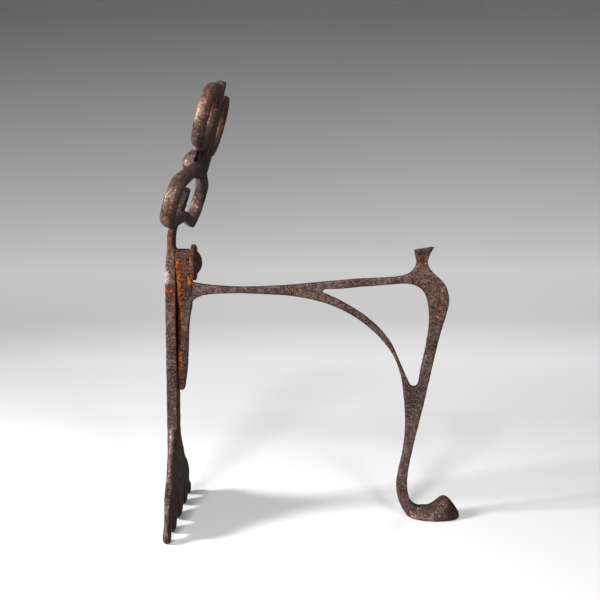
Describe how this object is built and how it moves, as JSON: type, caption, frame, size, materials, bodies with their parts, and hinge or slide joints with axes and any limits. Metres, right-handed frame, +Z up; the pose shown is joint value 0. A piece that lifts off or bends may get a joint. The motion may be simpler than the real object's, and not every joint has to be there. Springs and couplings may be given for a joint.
{
  "type": "firedog",
  "caption": "Antique cast-iron firedog: scrolled front standard on a shell foot, with a bolted log bar, curved brace and rear leg that hold burning logs off the hearth.",
  "frame": {"origin": "on the floor, under the middle of the bounding box", "axes": "+Z is up, the ornamental front faces -X, the rear leg stands at +X, and the firedog is symmetric about Y = 0"},
  "size_m": [0.284, 0.184, 0.4213],
  "materials": {
    "cast_iron": "dark grey-brown as-cast iron, pitted, with scattered rust",
    "rusted_iron": "wrought iron fastener, dark with orange rust"
  },
  "bodies": {
    "root": {"front_upright": "cast_iron", "billet_bar": "cast_iron", "clamp_bolt": "rusted_iron", "bolt_washer": "rusted_iron"}
  },
  "joints": []
}
